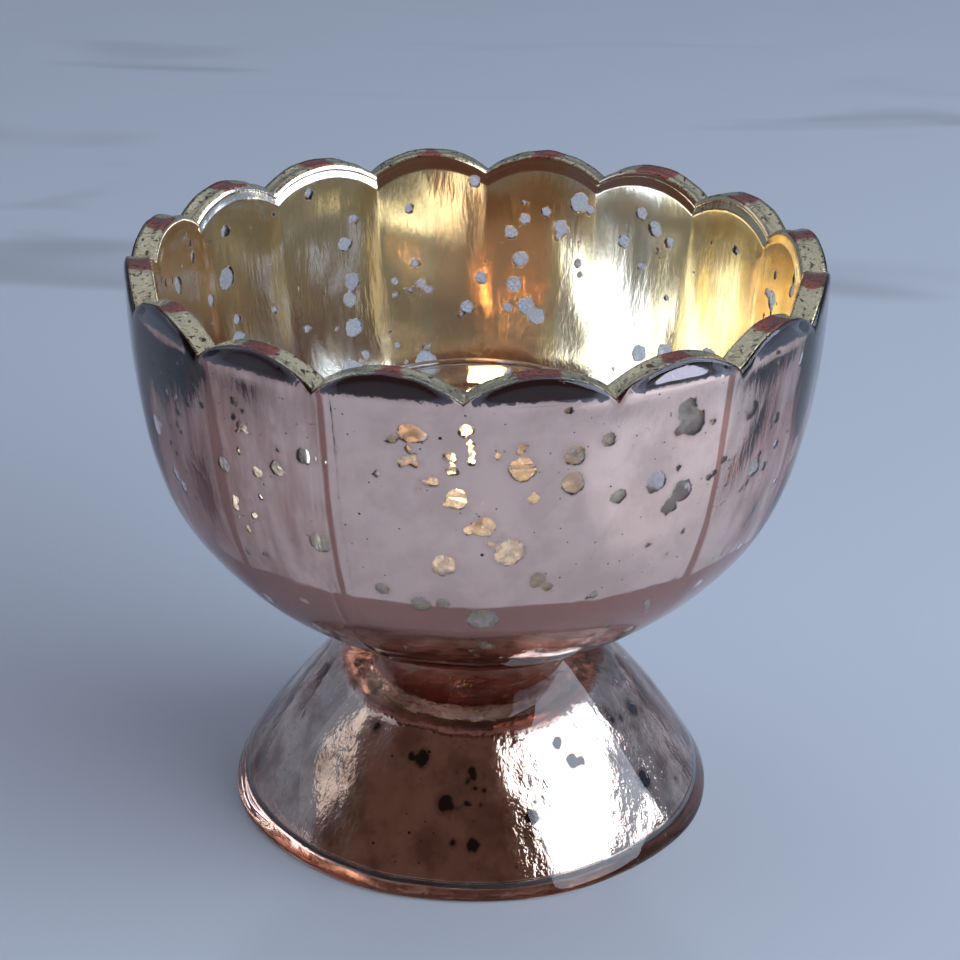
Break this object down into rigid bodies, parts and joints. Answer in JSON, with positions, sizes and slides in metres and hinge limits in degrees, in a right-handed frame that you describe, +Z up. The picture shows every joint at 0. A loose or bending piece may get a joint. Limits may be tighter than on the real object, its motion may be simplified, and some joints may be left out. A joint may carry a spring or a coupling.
{
  "type": "tealight holder",
  "caption": "Footed glass tealight holder: scalloped, panelled bowl on a flared hollow foot, silvered inside with see-through specks, with a part-burnt tealight in it.",
  "frame": {"origin": "centre of the foot's flat resting face", "axes": "+Z up along the bowl's axis of symmetry; one crease of the bowl faces -Y, and one broad panel of the foot faces -Y"},
  "size_m": [0.0936, 0.0936, 0.0803],
  "materials": {
    "rose_glass": "pressed glass with a rose tint",
    "silvering": "aged silver film with see-through specks",
    "gold_lacquer": "pale gold lacquer over the silver film, mottled",
    "foot_silvering": "aged silver film",
    "clear_cup": "clear moulded plastic",
    "wax": "paraffin wax, translucent",
    "sustainer_steel": "tin-plated steel",
    "wick_cotton": "braided cotton, charred at the tip"
  },
  "bodies": {
    "holder": {"glass_bowl": "rose_glass", "glass_foot": "rose_glass", "bowl_silvering": "silvering", "bowl_lacquer": "gold_lacquer", "foot_silvering": "foot_silvering"},
    "cup": {"tealight_cup": "clear_cup"},
    "candle": {"tealight_wax": "wax", "wick_sustainer": "sustainer_steel", "tealight_wick": "wick_cotton"}
  },
  "joints": [
    {"name": "tealight_lift", "type": "slide", "parent": "holder", "child": "cup", "axis": [0, 0, 1], "range_m": [0, 0.06]},
    {"name": "candle_lift", "type": "slide", "parent": "cup", "child": "candle", "axis": [0, 0, 1], "range_m": [0, 0.026]}
  ]
}
